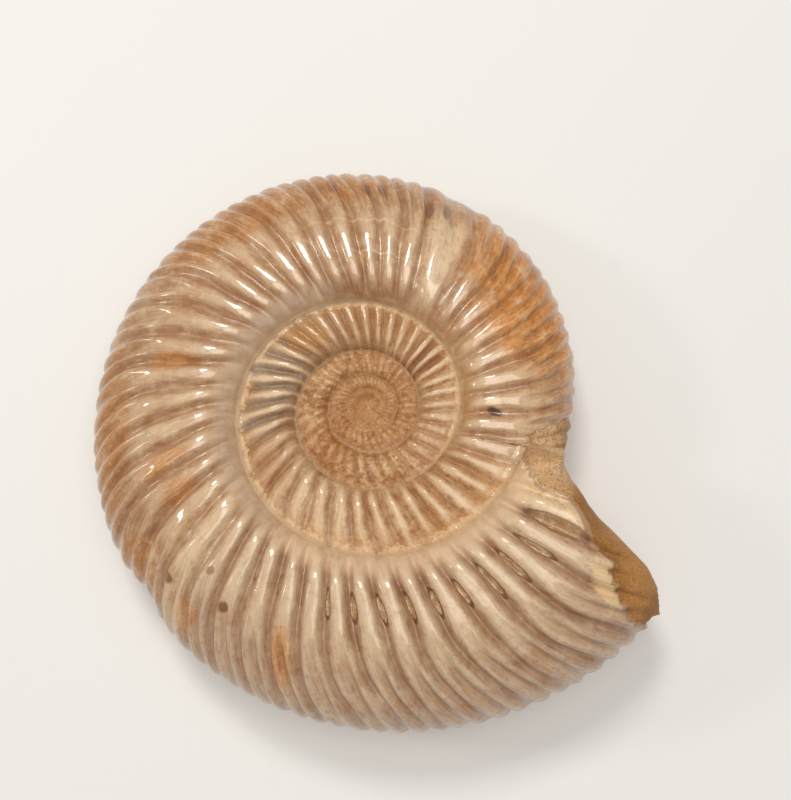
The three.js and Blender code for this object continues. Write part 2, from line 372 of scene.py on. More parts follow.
faces = [face for face in faces if len({corner[0] for corner in face}) == len(face)]
angles, ups, sides = np.array(points).T
strip = bpy.data.meshes.new("unwound_strip")
strip.from_pydata(
    [(angle / 360, up, 0.1 * side) for angle, up, side in points],
    [],
    [[corner[0] for corner in face] for face in faces],
)
strip.polygons.foreach_set("use_smooth", [True] * len(faces))


def store(mesh, name, domain, values):
    attribute = mesh.attributes.new(name, "FLOAT", domain)
    attribute.data.foreach_set("value", np.asarray(values, np.float32))


def groove_number(angle, up):
    """Counts the grooves along the coil. No rib is quite even, so the count wavers a little."""
    number = np.interp(angle - rib_sweep(up), GROOVES[:, 1], GROOVES[:, 0])
    waver = 0.035 * np.sin(1.7 * number + 5 * up + 1) + 0.03 * np.sin(4.1 * number - 9 * up + 2)
    waver = waver + 0.02 * np.sin(7.3 * number + 17 * up)
    return number + waver * smoothstep(angle, -740, -300)


def groove_strength(angle, up):
    """How deep each groove is: shallow in the worn middle and where the next turn covers it."""
    number = groove_number(angle, up)
    each = 1 + 0.16 * np.sin(2.3 * number + 0.7) + 0.12 * np.sin(5.9 * number + 6 * up)
    worn = 0.5 + 0.5 * smoothstep(angle, -460, -300)
    inner = 1 - smoothstep(angle, -20, -8)
    buried = 1 - 0.85 * inner * smoothstep(up / covered_from(angle), 0.72, 1)
    return each * worn * buried


infill = infill_share(angles, ups)
store(strip, "angle", "POINT", angles)
store(strip, "up", "POINT", ups)
store(strip, "side", "POINT", sides)
store(strip, "groove", "POINT", groove_number(angles, ups))
store(strip, "groove_strength", "POINT", groove_strength(angles, ups))
store(strip, "infill", "POINT", infill)
store(strip, "rest_height", "POINT", infill_rest_height(angles, ups))
store(strip, "carving", "POINT", carving(angles, ups, sides))
bare = np.maximum(smoothstep(infill, 0, 0.04), bare_patch(angles, ups, sides))
store(strip, "bare_stone", "POINT", bare)

# The same coordinates again on the corners, where the finish reads them: a seam belongs to two
# turns, and each side of it keeps its own.
corner_values = np.array([corner[1:] for face in faces for corner in face])
store(strip, "coil_angle", "CORNER", corner_values[:, 0])
store(strip, "whorl_height", "CORNER", corner_values[:, 1])
store(strip, "flank_side", "CORNER", corner_values[:, 2])
store(strip, "groove_number", "CORNER", groove_number(corner_values[:, 0], corner_values[:, 1]))
buried_share = corner_values[:, 1] / covered_from(corner_values[:, 0])
store(strip, "buried_share", "CORNER", buried_share)


class Field:
    """A socket in a node tree that adds, multiplies and compares as a number does."""

    def __init__(self, tree, socket):
        self.tree = tree
        self.socket = socket

    def math(self, operation, *others):
        node = self.tree.nodes.new("ShaderNodeMath")
        node.operation = operation
        for slot, value in zip(node.inputs, (self, *others)):
            feed(self.tree, value, slot)
        return Field(self.tree, node.outputs[0])

    def __add__(self, other):
        return self.math("ADD", other)

    __radd__ = __add__

    def __sub__(self, other):
        return self.math("SUBTRACT", other)

    def __rsub__(self, other):
        return self.math("MULTIPLY_ADD", -1.0, other)

    def __mul__(self, other):
        return self.math("MULTIPLY", other)

    __rmul__ = __mul__

    def __truediv__(self, other):
        return self.math("DIVIDE", other)

    def __neg__(self):
        return self.math("MULTIPLY", -1.0)

    def cosine(self):
        return self.math("RADIANS").math("COSINE")

    def bell(self, width):
        """1 where the value is 0, falling off as a bell over the width."""
        share = self / width
        return (-(share * share)).math("EXPONENT")

    def rise(self, low, high):
        """0 below low, 1 above high and smooth in between."""
        node = self.tree.nodes.new("ShaderNodeMapRange")
        node.interpolation_type = "SMOOTHSTEP"
        feed(self.tree, self, node.inputs["Value"])
        feed(self.tree, low, node.inputs["From Min"])
        feed(self.tree, high, node.inputs["From Max"])
        return Field(self.tree, node.outputs["Result"])


def feed(tree, value, slot):
    if isinstance(value, Field):
        tree.links.new(value.socket, slot)
    else:
        slot.default_value = value


METRES_PER_MM = 0.001


class Winding:
    """The node tree that winds the flat strip: its given sizes, and what the strip carries."""

    def __init__(self, tree):
        self.tree = tree
        self.given = tree.nodes.new("NodeGroupInput")
        self.size = {name: Field(tree, self.given.outputs[name]) for name in COIL}
        self.angle = self.attribute("angle")
        self.up = self.attribute("up")
        self.side = self.attribute("side")
        self.infill = self.attribute("infill")
        growth = self.size["Growth per turn"].math("POWER", self.angle / 360)
        self.coil = self.size["Venter radius"] * growth

    def attribute(self, name):
        node = self.tree.nodes.new("GeometryNodeInputNamedAttribute")
        node.data_type = "FLOAT"
        node.inputs["Name"].default_value = name
        return Field(self.tree, node.outputs["Attribute"])

    def unevenness(self, scale, detail):
        node = self.tree.nodes.new("ShaderNodeTexNoise")
        feed(self.tree, scale, node.inputs["Scale"])
        node.inputs["Detail"].default_value = detail
        return Field(self.tree, node.outputs[0]) - 0.5

    def vector(self, x, y, z):
        node = self.tree.nodes.new("ShaderNodeCombineXYZ")
        for slot, value in zip(node.inputs, (x, y, z)):
            feed(self.tree, value, slot)
        return Field(self.tree, node.outputs[0])

    def split(self, vector_socket):
        node = self.tree.nodes.new("ShaderNodeSeparateXYZ")
        self.tree.links.new(vector_socket, node.inputs[0])
        return [Field(self.tree, part) for part in node.outputs]

    def place(self):
        return self.split(self.tree.nodes.new("GeometryNodeInputPosition").outputs[0])

    def set_position(self, geometry, position=None, offset=None):
        node = self.tree.nodes.new("GeometryNodeSetPosition")
        self.tree.links.new(geometry, node.inputs["Geometry"])
        if position:
            feed(self.tree, position, node.inputs["Position"])
        if offset:
            feed(self.tree, offset, node.inputs["Offset"])
        return node.outputs["Geometry"]


def wind_smooth(winding):
    """Rolls the strip up into the smooth coil: a growing spiral with a broad oval section."""
    size, angle, up, coil = winding.size, winding.angle, winding.up, winding.coil
    venter = coil * (1 + size["Venter lean"] * (angle - size["Venter lean towards"]).cosine())
    turns = (angle / 360).math("MAXIMUM", -2.0).math("MINIMUM", 1.0)
    fade = (coil / (coil + size["Seam offset fade size"])).math("POWER", 2.0)
    offset = size["Seam offset"] * fade * (angle - size["Seam offset towards"]).cosine()
    seam = venter * (size["Seam share"] - size["Seam share drop per turn"] * turns) + offset
    radius = seam + (venter - seam) * up

    broadest = size["Broadest at"]
    wall = (1 - up / broadest).math("MAXIMUM", 0.0).math("POWER", size["Squareness"])
    wall = (1 - wall).math("MAXIMUM", 0.0).math("SQRT")
    wall = size["Seam height share"] + (1 - size["Seam height share"]) * wall
    flank = ((up - broadest) / (1 - broadest)).math("MAXIMUM", 0.0)
    flank = (1 - flank.math("POWER", size["Squareness"])).math("MAXIMUM", 0.0).math("SQRT")
    height = coil * size["Half breadth"] * wall.math("MINIMUM", flank)

    turned = angle.math("RADIANS")
    x, y = radius * turned.math("COSINE"), radius * turned.math("SINE")
    smooth = winding.vector(x, y, winding.side * height)
    return winding.set_position(winding.given.outputs["Strip"], position=smooth)


def cut_grooves(winding, geometry):
    """Sinks the surface: a groove beside each rib and in each fork, the carving, and wear."""
    tree, size, up = winding.tree, winding.size, winding.up
    number = winding.attribute("groove")
    phase = number - (number + 0.5).math("FLOOR")
    branch = up.rise(size["Branching from"], size["Branching to"])
    width = size["Groove width"] + (size["Outer groove width"] - size["Groove width"]) * branch
    grooves = phase.bell(width) + branch * (0.5 - phase.math("ABSOLUTE")).bell(width)
    shallow = 1 - (1 - size["Relief on venter"]) * up.rise(size["Venter fade from"], 1.0)
    grooves = grooves * up.rise(0.0, 0.12) * shallow * winding.attribute("groove_strength")
    ribs = size["Rib depth"] * winding.coil * grooves * (1 - winding.infill)

    lumps = size["Lump depth"] * winding.unevenness(size["Lump scale"], 2.0)
    worn_middle = 1 - winding.angle.rise(-460.0, -300.0)
    rough_here = size["Broken stone roughness"] * winding.attribute("bare_stone")
    rough_here = rough_here + size["Middle roughness"] * worn_middle
    roughness = rough_here * winding.unevenness(size["Roughness scale"], 4.0)

    relief = ribs + winding.attribute("carving") + lumps + roughness
    normal = tree.nodes.new("GeometryNodeInputNormal")
    inward = tree.nodes.new("ShaderNodeVectorMath")
    inward.operation = "SCALE"
    tree.links.new(normal.outputs[0], inward.inputs[0])
    feed(tree, -relief, inward.inputs["Scale"])
    return winding.set_position(geometry, offset=Field(tree, inward.outputs[0]))


def close_mouth(winding, geometry):
    """Rounds the infill down to its end, where it lies on the turn below it."""
    x, y, z = winding.place()
    infill = winding.infill
    rounded = z * (1 - infill * infill).math("MAXIMUM", 0.0).math("SQRT")
    rest_height = winding.attribute("rest_height")
    rested = rounded.math("ABSOLUTE").math("MAXIMUM", rest_height) * winding.side
    closed_z = z + (rested - z) * infill.math("GREATER_THAN", 0.0)
    return winding.set_position(geometry, position=winding.vector(x, y, closed_z))


def lay_down(winding, geometry):
    """Tilts the coil as it rests, centres it, wears the lowest ribs flat, and turns it to metres."""
    tree, size = winding.tree, winding.size
    towards = size["Rest tilt towards"].math("RADIANS")
    spin = tree.nodes.new("FunctionNodeAxisAngleToRotation")
    axis = winding.vector(towards.math("SINE"), -towards.math("COSINE"), 0.0)
    feed(tree, axis, spin.inputs["Axis"])
    feed(tree, size["Rest tilt"].math("RADIANS"), spin.inputs["Angle"])
    tilted = tree.nodes.new("GeometryNodeTransform")
    tree.links.new(geometry, tilted.inputs["Geometry"])
    tree.links.new(spin.outputs[0], tilted.inputs["Rotation"])

    box = tree.nodes.new("GeometryNodeBoundBox")
    tree.links.new(tilted.outputs[0], box.inputs["Geometry"])
    low = winding.split(box.outputs["Min"])
    high = winding.split(box.outputs["Max"])
    x, y, z = winding.place()
    centred = winding.vector(
        (x - (low[0] + high[0]) * 0.5) * METRES_PER_MM,
        (y - (low[1] + high[1]) * 0.5) * METRES_PER_MM,
        (z - low[2] - size["Flat depth"]).math("MAXIMUM", 0.0) * METRES_PER_MM,
    )
    return winding.set_position(tilted.outputs[0], position=centred)


def wind_the_coil():
    """The whole tree, from the flat strip to the finished coil."""
    tree = bpy.data.node_groups.new("wind_the_coil", "GeometryNodeTree")
    tree.interface.new_socket("Strip", in_out="INPUT", socket_type="NodeSocketGeometry")
    for name, value in COIL.items():
        socket = tree.interface.new_socket(name, in_out="INPUT", socket_type="NodeSocketFloat")
        socket.default_value = value
    tree.interface.new_socket("Finish", in_out="INPUT", socket_type="NodeSocketMaterial")
    tree.interface.new_socket("Coil", in_out="OUTPUT", socket_type="NodeSocketGeometry")
    winding = Winding(tree)
    geometry = wind_smooth(winding)
    geometry = cut_grooves(winding, geometry)
    geometry = close_mouth(winding, geometry)
    geometry = lay_down(winding, geometry)
    real = tree.nodes.new("GeometryNodeRealizeInstances")
    tree.links.new(geometry, real.inputs[0])
    finished = tree.nodes.new("GeometryNodeSetMaterial")
    tree.links.new(real.outputs[0], finished.inputs["Geometry"])
    tree.links.new(winding.given.outputs["Finish"], finished.inputs["Material"])
    out = tree.nodes.new("NodeGroupOutput")
    tree.links.new(finished.outputs[0], out.inputs[0])
    return tree


# The finish of the stone: polished cream, pinkish and orange calcite, browner in the grooves, partly
# as painted shade, sandy in the middle, and dull golden stone where the shell is gone.
def stone_colour(red, green, blue):
    """A colour given as 0 to 255, as the shader wants it."""
    channels = [value / 255 for value in (red, green, blue)]
    linear = [c / 12.92 if c <= 0.04045 else ((c + 0.055) / 1.055) ** 2.4 for c in channels]
    return (*linear, 1.0)


def noise(tree, vector_socket, scale, detail=3.0, roughness=0.5):
    node = tree.nodes.new("ShaderNodeTexNoise")
    tree.links.new(vector_socket, node.inputs["Vector"])
    node.inputs["Scale"].default_value = scale
    node.inputs["Detail"].default_value = detail
    node.inputs["Roughness"].default_value = roughness
    return Field(tree, node.outputs[0])


def new_group(name, inputs, outputs):
    tree = bpy.data.node_groups.new(name, "ShaderNodeTree")
    for socket_name, kind, value in inputs:
        socket = tree.interface.new_socket(socket_name, in_out="INPUT", socket_type=kind)
        if value is not None:
            socket.default_value = value
    for socket_name, kind in outputs:
        tree.interface.new_socket(socket_name, in_out="OUTPUT", socket_type=kind)
    given = tree.nodes.new("NodeGroupInput")
    out = tree.nodes.new("NodeGroupOutput")
    return tree, given, out


def build_stain_group():
    """A ragged oval on the whorl, given by its middle and half lengths in angle and height."""
    number = "NodeSocketFloat"
    tree, given, out = new_group(
        "ragged_stain",
        [
            ("Angle", number, None), ("Height", number, None), ("Wander", number, None),
            ("Middle angle", number, 0.0), ("Middle height", number, 0.5),
            ("Half angle", number, 10.0), ("Half height", number, 0.2),
            ("Slant", number, 0.0), ("Softness", number, 0.3),
        ],
        [("Mask", number)],
    )
    part = {name: Field(tree, given.outputs[name]) for name in given.outputs.keys() if name}
    rise_up = part["Height"] - part["Middle height"]
    along = (part["Angle"] - part["Middle angle"] - part["Slant"] * rise_up) / part["Half angle"]
    across = rise_up / part["Half height"]
    distance = (along * along + across * across).math("SQRT") + part["Wander"]
    mask = 1 - distance.rise(1 - part["Softness"], 1 + part["Softness"])
    tree.links.new(mask.socket, out.inputs["Mask"])
    return tree


def build_spindle_group():
    """Lens-shaped marks in the grooves: a dark outline round a pale core."""
    number = "NodeSocketFloat"
    tree, given, out = new_group(
        "groove_spindles",
        [
            ("Groove number", number, None), ("Height", number, None), ("Wander", number, None),
            ("Middle height", number, 0.31), ("Half height", number, 0.09),
            ("Half width", number, 0.12), ("First groove", number, 31.5),
            ("Last groove", number, 37.5),
        ],
        [("Outline", number), ("Core", number)],
    )
    part = {name: Field(tree, given.outputs[name]) for name in given.outputs.keys() if name}
    groove = part["Groove number"]
    across = (groove - (groove + 0.4).math("FLOOR") - 0.1) / part["Half width"]
    along = (part["Height"] - part["Middle height"]) / part["Half height"]
    inside = 1 - across * across - along * along + part["Wander"]
    there = groove.math("GREATER_THAN", part["First groove"])
    there = there * groove.math("LESS_THAN", part["Last groove"])
    outline = inside.rise(-0.35, 0.05) * there
    core = inside.rise(0.3, 0.5) * there
    tree.links.new(outline.socket, out.inputs["Outline"])
    tree.links.new(core.socket, out.inputs["Core"])
    return tree


def build_grain_group():
    """Sand grains and small crystals: how dark, how bright and how high each point is."""
    number = "NodeSocketFloat"
    tree, given, out = new_group(
        "sandy_grain",
        [("Scale", number, 2300.0), ("Contrast", number, 1.0)],
        [("Dark", number), ("Bright", number), ("Lift", number)],
    )
    where = tree.nodes.new("ShaderNodeTexCoord").outputs["Object"]
    scale = Field(tree, given.outputs["Scale"])
    contrast = Field(tree, given.outputs["Contrast"])
    coarse = tree.nodes.new("ShaderNodeTexNoise")
    tree.links.new(where, coarse.inputs["Vector"])
    feed(tree, scale, coarse.inputs["Scale"])
    coarse.inputs["Detail"].default_value = 4.0
    coarse.inputs["Roughness"].default_value = 0.65
    grains = tree.nodes.new("ShaderNodeTexVoronoi")
    tree.links.new(where, grains.inputs["Vector"])
    feed(tree, scale * 1.4, grains.inputs["Scale"])
    clump = Field(tree, coarse.outputs[0])
    crystal = Field(tree, grains.outputs["Distance"])
    speck = (1 - crystal.rise(0.24, 0.46)) * clump.rise(0.4, 0.52)
    tree.links.new((contrast * speck).socket, out.inputs["Dark"])
    tree.links.new((contrast * clump.rise(0.56, 0.7)).socket, out.inputs["Bright"])
    tree.links.new((clump + 0.4 * (1 - crystal)).socket, out.inputs["Lift"])
    return tree


CREAM = stone_colour(214, 178, 138)
IVORY = stone_colour(238, 208, 168)
ROSY = stone_colour(194, 152, 116)
TAN = stone_colour(186, 132, 82)
ORANGE = stone_colour(216, 140, 56)
BROWN = stone_colour(138, 84, 42)
DARK_BROWN = stone_colour(86, 48, 24)
RED_BROWN = stone_colour(128, 64, 36)
SPOT_BROWN = stone_colour(122, 66, 34)
LENS_BROWN = stone_colour(112, 64, 28)
EDGE_BROWN = stone_colour(110, 70, 40)
PAINTED_SHADE_BROWN = stone_colour(164, 116, 74)
DINGY_BROWN = stone_colour(160, 112, 70)
GREY_AND_PAINTED_LIGHT = stone_colour(222, 198, 174)
SLATE = stone_colour(132, 120, 104)
PALE_BEIGE = stone_colour(212, 184, 154)
PALE_MAUVE_AND_PAINTED_LIGHT = stone_colour(204, 176, 152)
PALE_WALL_AND_PAINTED_LIGHT = stone_colour(244, 210, 174)
PALE_EDGE = stone_colour(246, 212, 168)
PALE_SPLINTER = stone_colour(240, 206, 158)
PALE_CRUST = stone_colour(232, 196, 150)
SANDY = stone_colour(208, 160, 106)
SEAM_SAND = stone_colour(196, 142, 84)
DINGY_SAND = stone_colour(182, 132, 80)
MIDDLE_SAND = stone_colour(184, 132, 74)
LENS_SAND = stone_colour(204, 158, 104)
GOLDEN = stone_colour(190, 132, 66)
DEEP_GOLDEN = stone_colour(176, 112, 48)
INFILL_PALE = stone_colour(214, 176, 132)
INFILL_SHADE = stone_colour(134, 84, 38)
INFILL_MOTTLE = stone_colour(176, 124, 72)
INFILL_GRAIN = stone_colour(104, 66, 34)
INFILL_SPARKLE = stone_colour(206, 160, 92)

# Where the orange stains lie: middle angle and height, half angle and half height.
WARM_STAINS = (
    (190.0, 0.9, 17.0, 0.2), (126.0, 0.78, 18.0, 0.17), (96.0, 0.84, 12.0, 0.16),
    (199.5, 0.42, 2.6, 0.14), (208.7, 0.42, 2.6, 0.12), (170.0, 0.42, 2.6, 0.14),
    (253.5, 0.68, 2.0, 0.2), (231.5, 0.82, 3.0, 0.08), (216.0, 0.88, 5.0, 0.12),
)
# The lens marks, by stretches of grooves: first, last, half height, half width and strength.
LENSES = (
    (28.5, 31.5, 0.06, 0.1, 0.4), (31.5, 37.5, 0.088, 0.135, 0.9),
    (37.5, 40.5, 0.12, 0.13, 0.75), (40.5, 41.5, 0.17, 0.24, 0.6),
)


class Finish:
    """The stone's node tree: where each point lies on the coil, the noises and the colour."""

    def __init__(self, tree):
        self.tree = tree
        self.colour = CREAM
        self.here = tree.nodes.new("ShaderNodeTexCoord").outputs["Object"]
        self.angle = self.attribute("coil_angle")
        self.up = self.attribute("whorl_height")
        self.side = self.attribute("flank_side")
        self.groove = self.attribute("groove_number")
        self.buried = self.attribute("buried_share")
        self.bare = self.attribute("bare_stone")
        self.upper = self.side.rise(-0.1, 0.1).math("MAXIMUM", self.up.rise(0.86, 1.0))
        self.outer_turn = self.angle.rise(-40.0, -15.0)
        self.inner = 1 - self.angle.rise(-40.0, -18.0)
        self.second_turn = self.inner * self.angle.rise(-400.0, -350.0)
        self.middle = 1 - self.angle.rise(-440.0, -360.0)
        self.branch = self.up.rise(0.55, 0.78)
        phase = self.groove - (self.groove + 0.5).math("FLOOR")
        from_crest = 0.5 - phase.math("ABSOLUTE")
        self.in_groove = phase.bell(0.17) + self.branch * from_crest.bell(0.1)
        self.crest = from_crest.bell(0.2)
        self.beside_crest = from_crest.math("ABSOLUTE")
        self.broad = noise(tree, self.here, 70.0, 3.0, 0.6)
        self.middling = noise(tree, self.here, 260.0, 5.0, 0.7)
        self.fine = noise(tree, self.here, 1100.0, 4.0, 0.75)
        self.streaks = noise(tree, self.along_ribs(1.0, 2.4), 1.7, 4.0, 0.65)
        self.threads = noise(tree, self.along_ribs(9.0, 3.0), 2.0, 3.0, 0.65)
        self.wander = (self.middling - 0.5) * 2.6
        self.small_wander = (self.fine - 0.5) * 1.4
        self.stain = build_stain_group()
        grain_outputs = ["Dark", "Bright", "Lift"]
        self.grain, self.sparkle, self.lift = self.use(
            build_grain_group(), grain_outputs, scale=2300.0
        )

    def attribute(self, name):
        node = self.tree.nodes.new("ShaderNodeAttribute")
        node.attribute_name = name
        return Field(self.tree, node.outputs["Fac"])

    def along_ribs(self, across_scale, up_scale):
        """Coordinates that run along the ribs, the same on both sides of the venter."""
        node = self.tree.nodes.new("ShaderNodeCombineXYZ")
        feed(self.tree, self.groove * across_scale, node.inputs[0])
        feed(self.tree, self.up * up_scale, node.inputs[1])
        feed(self.tree, self.side * (1 - self.up) * 4.0, node.inputs[2])
        return node.outputs[0]

    def between(self, low, high, softness):
        """1 on a stretch of the coil, with soft ends."""
        start = self.angle.rise(low - softness, low + softness)
        return start * (1 - self.angle.rise(high - softness, high + softness))

    def use(self, group, outputs, **values):
        node = self.tree.nodes.new("ShaderNodeGroup")
        node.node_tree = group
        for name, value in values.items():
            feed(self.tree, value, node.inputs[name.replace("_", " ").capitalize()])
        return [Field(self.tree, node.outputs[name]) for name in outputs]

    def stained(self, middle_angle, middle_height, half_angle, half_height, **more):
        values = {"wander": self.wander, **more}
        return self.use(
            self.stain, ["Mask"], angle=self.angle, height=self.up, middle_angle=middle_angle,
            middle_height=middle_height, half_angle=half_angle, half_height=half_height, **values,
        )[0]

    def mix(self, below, above, mask):
        node = self.tree.nodes.new("ShaderNodeMix")
        node.data_type = "RGBA"
        feed(self.tree, mask, node.inputs[0])
        for slot, colour in ((6, below), (7, above)):
            if isinstance(colour, tuple):
                node.inputs[slot].default_value = colour
            else:
                self.tree.links.new(colour, node.inputs[slot])
        return node.outputs[2]

    def paint(self, colour, mask):
        """Lays a colour over what is there, where the mask is 1."""
        self.colour = self.mix(self.colour, colour, mask)


def paint_body(stone, pale_half):
    """The body colour of the shell, from patch to patch, and paler over half of a turn, with painted
    light high on that half.
    """
    stone.paint(ROSY, stone.broad.rise(0.4, 0.58))
    stone.paint(TAN, stone.middling.rise(0.46, 0.66) * 0.7)
    stone.paint(IVORY, (1 - stone.middling.rise(0.3, 0.44)) * 0.5)
    stone.paint(PALE_BEIGE, pale_half * 0.7)
    # Painted light: the high flank of the pale half lightened where it slopes away from the lamps.
    stone.paint(PALE_MAUVE_AND_PAINTED_LIGHT, pale_half * stone.up.rise(0.45, 0.8) * 0.65)


def paint_warm_stains(stone):
    """Orange stains, streaked along the ribs, and painted shade, browner, high on the flank."""
    warm = stone.stained(31.0, 0.74, 24.0, 0.4, slant=8.0, softness=0.4)
    for place in WARM_STAINS:
        warm = warm.math("MAXIMUM", stone.stained(*place, slant=8.0) * 0.65)
    under_warm = (1 - stone.upper) * stone.broad.rise(0.5, 0.64)
    warm = (warm * stone.upper).math("MAXIMUM", under_warm)
    stone.paint(ORANGE, (warm * (0.4 + 1.1 * stone.streaks)).math("MINIMUM", 1.0))
    stone.paint(BROWN, warm * stone.streaks.rise(0.52, 0.66) * 0.5)
    # Painted shade: the high flank browner where it slopes away from the light.
    painted_high_shade = stone.up.rise(0.55, 0.95) * stone.between(65.0, 222.0, 6.0)
    stone.paint(PAINTED_SHADE_BROWN, painted_high_shade * 0.35)
    return warm


def paint_constrictions(stone):
    """Two smooth pale constrictions cross the flank, along the ribs."""
    first = stone.groove.rise(7.1, 7.35) * (1 - stone.groove.rise(7.8, 8.1))
    second = stone.groove.rise(26.0, 26.3) * (1 - stone.groove.rise(26.8, 27.1))
    pale = (first * (1 - stone.up.rise(0.72, 0.82))).math("MAXIMUM", second * 0.7)
    stone.paint(IVORY, pale * stone.upper * 0.65)


def paint_growth_lines(stone):
    """Each rib has its own tint, hair-fine growth lines run along it, and fine mottles cross it."""
    stone.paint(TAN, stone.streaks.rise(0.5, 0.66) * 0.45)
    stone.paint(IVORY, (1 - stone.streaks.rise(0.32, 0.46)) * 0.45)
    stone.paint(BROWN, stone.threads.rise(0.52, 0.64) * 0.36)
    stone.paint(IVORY, (1 - stone.threads.rise(0.36, 0.46)) * 0.36)
    stone.paint(BROWN, stone.fine.rise(0.54, 0.66) * 0.36)
    stone.paint(IVORY, (1 - stone.fine.rise(0.34, 0.46)) * 0.36)


def paint_grooves(stone, warm):
    """Grooves painted browner, most of all towards the mouth: partly the stone's own brown, partly
    painted shade. Rib crests are pale.
    """
    towards_mouth = stone.between(232.0, 335.0, 8.0) * stone.upper
    tint = 0.32 + 0.9 * (stone.streaks - 0.5)
    tint = tint + towards_mouth * 0.36 * (1 - stone.up.rise(0.45, 0.75) * 0.75)
    low_fade = stone.up.rise(0.03, 0.13)
    # Painted shade in the grooves, partly the stone's own brown.
    stone.paint(BROWN, (stone.in_groove * tint * low_fade).math("MINIMUM", 0.9))
    crest = stone.crest * 0.34 * stone.up.rise(0.05, 0.15) * (1 - stone.branch * 0.6)
    stone.paint(IVORY, crest * (1 - warm))


def paint_veins(stone):
    """Two thin pale veins wander along the flank over a short stretch."""
    vein = (stone.angle - 88.0).bell(20.0) * stone.upper
    line = (stone.up - 0.31 + (stone.middling - 0.5) * 0.12).bell(0.007)
    line = line + (stone.up - 0.53 + (stone.middling - 0.5) * 0.16).bell(0.006)
    stone.paint(IVORY, vein * line * 0.7)


def paint_wall(stone):
    """The wall down to the seam is greyer or paler, partly as painted light, with painted shade on
    one stretch; the seam itself is a ragged pale thread.
    """
    wall = (1 - stone.up.rise(0.05, 0.17)) * (0.75 + (0.5 - stone.streaks) * 1.6)
    # The grey is partly the stone's own tint, partly painted light where the wall slopes away.
    stone.paint(GREY_AND_PAINTED_LIGHT, wall * stone.between(108.0, 232.0, 14.0) * stone.outer_turn * 0.75)
    # Painted shade on the stretch of wall that faces away from the lamps.
    stone.paint(BROWN, wall * stone.between(60.0, 112.0, 10.0) * 0.4)
    # Painted light on the stretch of wall that faces the lamps, over its pale cream.
    stone.paint(PALE_WALL_AND_PAINTED_LIGHT, wall * stone.between(238.0, 345.0, 12.0) * 0.9)
    stone.paint(TAN, wall * (1 - stone.angle.rise(50.0, 70.0)) * stone.outer_turn * 0.6)
    ragged = (stone.middling - 0.5) * (0.24 - 0.16 * stone.outer_turn)
    thread = 1 - (stone.up + ragged).rise(0.015, 0.045)
    patches = 0.5 + (0.5 - stone.middling) * 2.0
    stone.paint(IVORY, thread * patches.math("MINIMUM", 1.0) * 0.8)


def paint_second_turn(stone):
    """Narrow cream ribs with sand between them, brown or grey in places."""
    turn = stone.second_turn
    fill = stone.beside_crest.rise(0.1, 0.22)
    sandy_part = (stone.between(-365.0, -250.0, 12.0) + stone.between(-85.0, -20.0, 12.0)) * turn
    stone.paint(SANDY, sandy_part * fill * (0.55 + (stone.middling - 0.5) * 1.5))
    stone.paint(BROWN, sandy_part * fill * stone.fine.rise(0.5, 0.6) * 0.5)
    stone.paint(IVORY, turn * (1 - stone.beside_crest.rise(0.04, 0.12)) * 0.55)
    stone.paint(RED_BROWN, stone.between(-336.0, -313.0, 4.0) * turn * fill * 0.6)
    stone.paint(SLATE, stone.between(-222.0, -158.0, 8.0) * turn * fill * 0.6)
    stone.paint(DINGY_BROWN, stone.between(-290.0, -215.0, 12.0) * turn * 0.4)
    sand_patch = stone.stained(-225.0, 0.3, 12.0, 0.2, wander=stone.wander * 0.7)
    stone.paint(GOLDEN, sand_patch * stone.inner * stone.upper * 0.7)
    seam_sand = (stone.buried + (stone.middling - 0.5) * 1.1).rise(0.84, 0.94) * stone.inner
    stone.paint(SEAM_SAND, seam_sand * 0.7)
    dingy = (0.22 + (stone.broad - 0.5) * 2.0).math("MAXIMUM", 0.0)
    stone.paint(DINGY_SAND, turn * dingy)
    # Painted shade in the grooves, partly the stone's own brown.
    stone.paint(BROWN, turn * stone.in_groove * (0.28 + (stone.middling - 0.5) * 2.4))
    return sandy_part * fill


def paint_middle(stone):
    """The worn turns further in: sandy and golden brown, with a pale crust along the seams."""
    middle = stone.middle
    stone.paint(SANDY, middle * 0.85)
    stone.paint(IVORY, middle * stone.crest * (1 - stone.fine.rise(0.44, 0.54)) * 0.9)
    # Painted shade in the grooves, partly the stone's own brown.
    stone.paint(BROWN, middle * stone.in_groove * stone.middling.rise(0.44, 0.6) * 0.75)
    stone.paint(BROWN, middle * stone.middling.rise(0.5, 0.62) * 0.45)
    stone.paint(DEEP_GOLDEN, middle * (0.2 + 0.5 * stone.broad.rise(0.4, 0.6)))
    stone.paint(BROWN, middle * stone.fine.rise(0.5, 0.58) * 0.6)
    stone.paint(IVORY, middle * stone.sparkle * 0.4)
    stone.paint(BROWN, stone.buried.rise(0.7, 1.0) * middle * 0.4)
    ragged = stone.buried + (stone.middling - 0.5) * 0.45 + (stone.fine - 0.5) * 0.4
    crust = ragged.rise(0.89, 0.95) * stone.inner
    stone.paint(PALE_CRUST, crust * (0.75 - 0.4 * middle))
    stone.paint(MIDDLE_SAND, (1 - stone.angle.rise(-1250.0, -700.0)) * 0.5)


def paint_broken_edge(stone):
    """Beside the broken edge the shell is creamy, and splintered high on the flank."""
    near_edge = stone.between(325.0, 350.0, 3.0) * (1 - stone.up.rise(0.42, 0.6)) * stone.upper
    stone.paint(PALE_EDGE, near_edge * (0.9 - 0.5 * stone.fine.rise(0.4, 0.6)))
    splinters = stone.stained(321.5, 0.7, 3.2, 0.14, slant=-12.0, wander=stone.small_wander)
    splinters = splinters * stone.upper
    stone.paint(PALE_SPLINTER, splinters * (0.4 + stone.threads))
    return splinters


